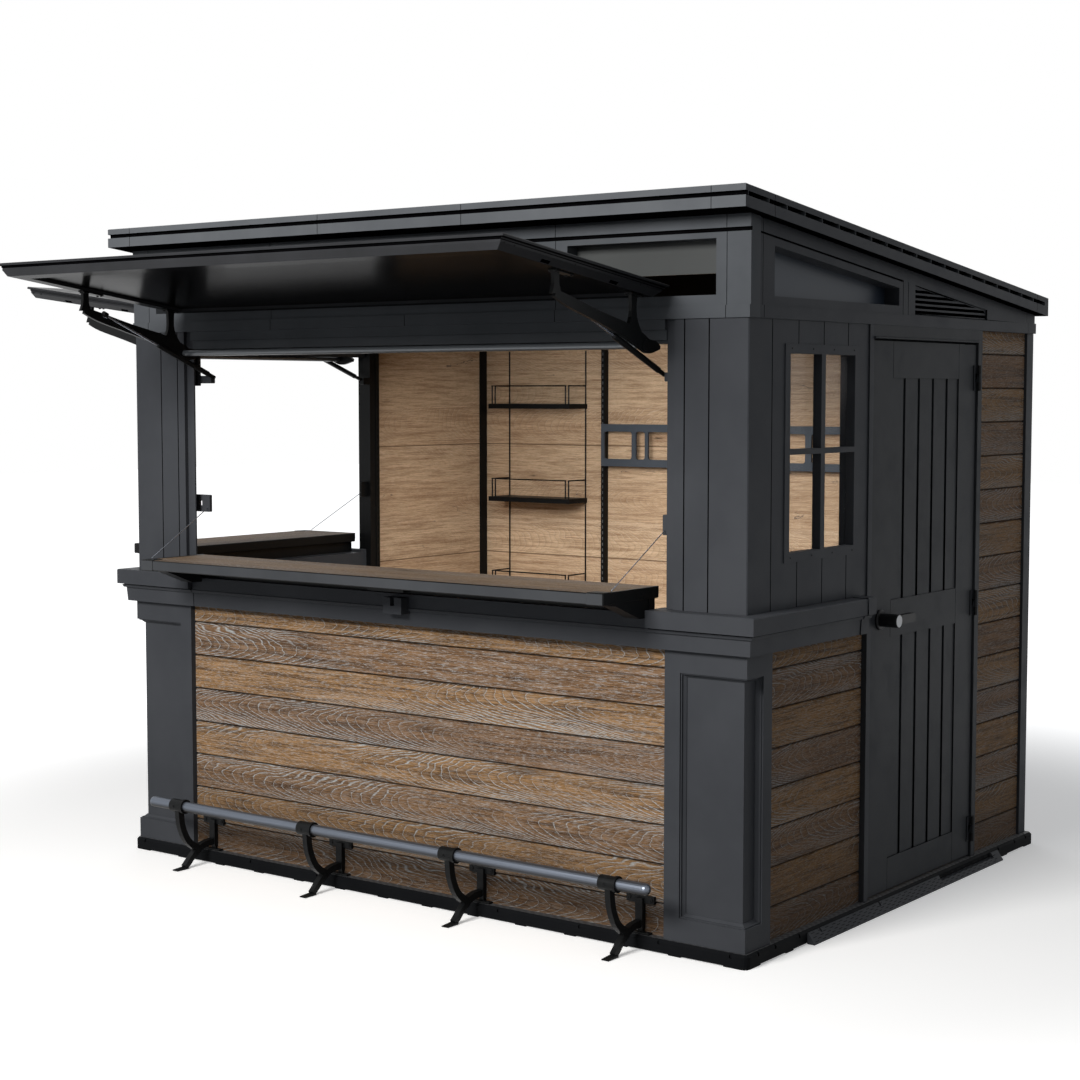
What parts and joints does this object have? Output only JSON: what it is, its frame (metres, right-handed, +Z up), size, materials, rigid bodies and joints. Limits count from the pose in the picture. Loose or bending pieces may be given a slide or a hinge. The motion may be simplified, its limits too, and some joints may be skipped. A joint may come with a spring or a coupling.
{
  "type": "outdoor bar",
  "caption": "Garden bar hut with board walls, a pent roof, an open serving hatch on the front and left side, fold-down counters, a foot rail and a side door.",
  "frame": {"origin": "middle of the base's underside, on the ground", "axes": "+Z up, the bar front faces -Y and runs along X, the door is on the +X side"},
  "size_m": [3.5605, 2.9482, 2.3298],
  "materials": {
    "resin": "moulded anthracite resin, matt",
    "boards": "limed brown oak boards",
    "gloss_black": "glossy black",
    "black_metal": "black coated",
    "bright_steel": "satin",
    "pane": "clear, slightly tinted"
  },
  "bodies": {
    "hut": {"base_floor": "resin", "threshold_ramp": "resin", "front_right_block": "resin", "front_left_block": "resin", "front_wood_panel": "boards", "right_front_wood_panel": "boards", "right_rear_wood_panel": "boards", "left_front_wood_panel": "boards", "left_rear_wood_panel": "boards", "back_wood_panel": "boards", "counter_belt": "resin", "right_upper_wall": "resin", "left_upper_post": "resin", "left_jamb_post": "resin", "right_rear_post": "resin", "left_rear_post": "resin", "side_window_frame": "resin", "side_window_glass": "pane", "door_jamb_front": "resin", "door_jamb_rear": "resin", "door_head": "resin", "door_hinge_low": "black_metal", "door_hinge_middle": "black_metal", "door_hinge_high": "black_metal", "front_header": "resin", "left_header": "resin", "front_frieze": "resin", "right_gable": "resin", "left_gable": "resin", "back_header": "resin", "front_high_panes": "pane", "right_gable_pane": "pane", "left_gable_pane": "pane", "roof": "resin", "front_hatch": "gloss_black", "left_hatch": "gloss_black", "front_hatch_arms": "black_metal", "left_hatch_arms": "black_metal", "front_right_strut": "black_metal", "front_left_strut": "black_metal", "left_front_strut": "black_metal", "left_rear_strut": "black_metal", "front_counter": "boards", "left_counter": "boards", "front_right_stay": "bright_steel", "front_left_stay": "bright_steel", "left_front_stay": "bright_steel", "left_rear_stay": "bright_steel", "foot_rail": "bright_steel", "rail_bracket_1": "black_metal", "rail_bracket_2": "black_metal", "rail_bracket_3": "black_metal", "rail_bracket_4": "black_metal", "wire_shelf": "black_metal", "bottle_rack": "resin", "wall_standard_left": "black_metal", "wall_standard_right": "black_metal"},
    "door": {"door_leaf": "resin", "door_handle": "black_metal"}
  },
  "joints": [
    {"name": "door_swing", "type": "hinge", "parent": "hut", "child": "door", "pos_m": [1.3405, 0.534, 0.975], "axis": [0, 0, 1], "range_deg": [0, 110]}
  ]
}
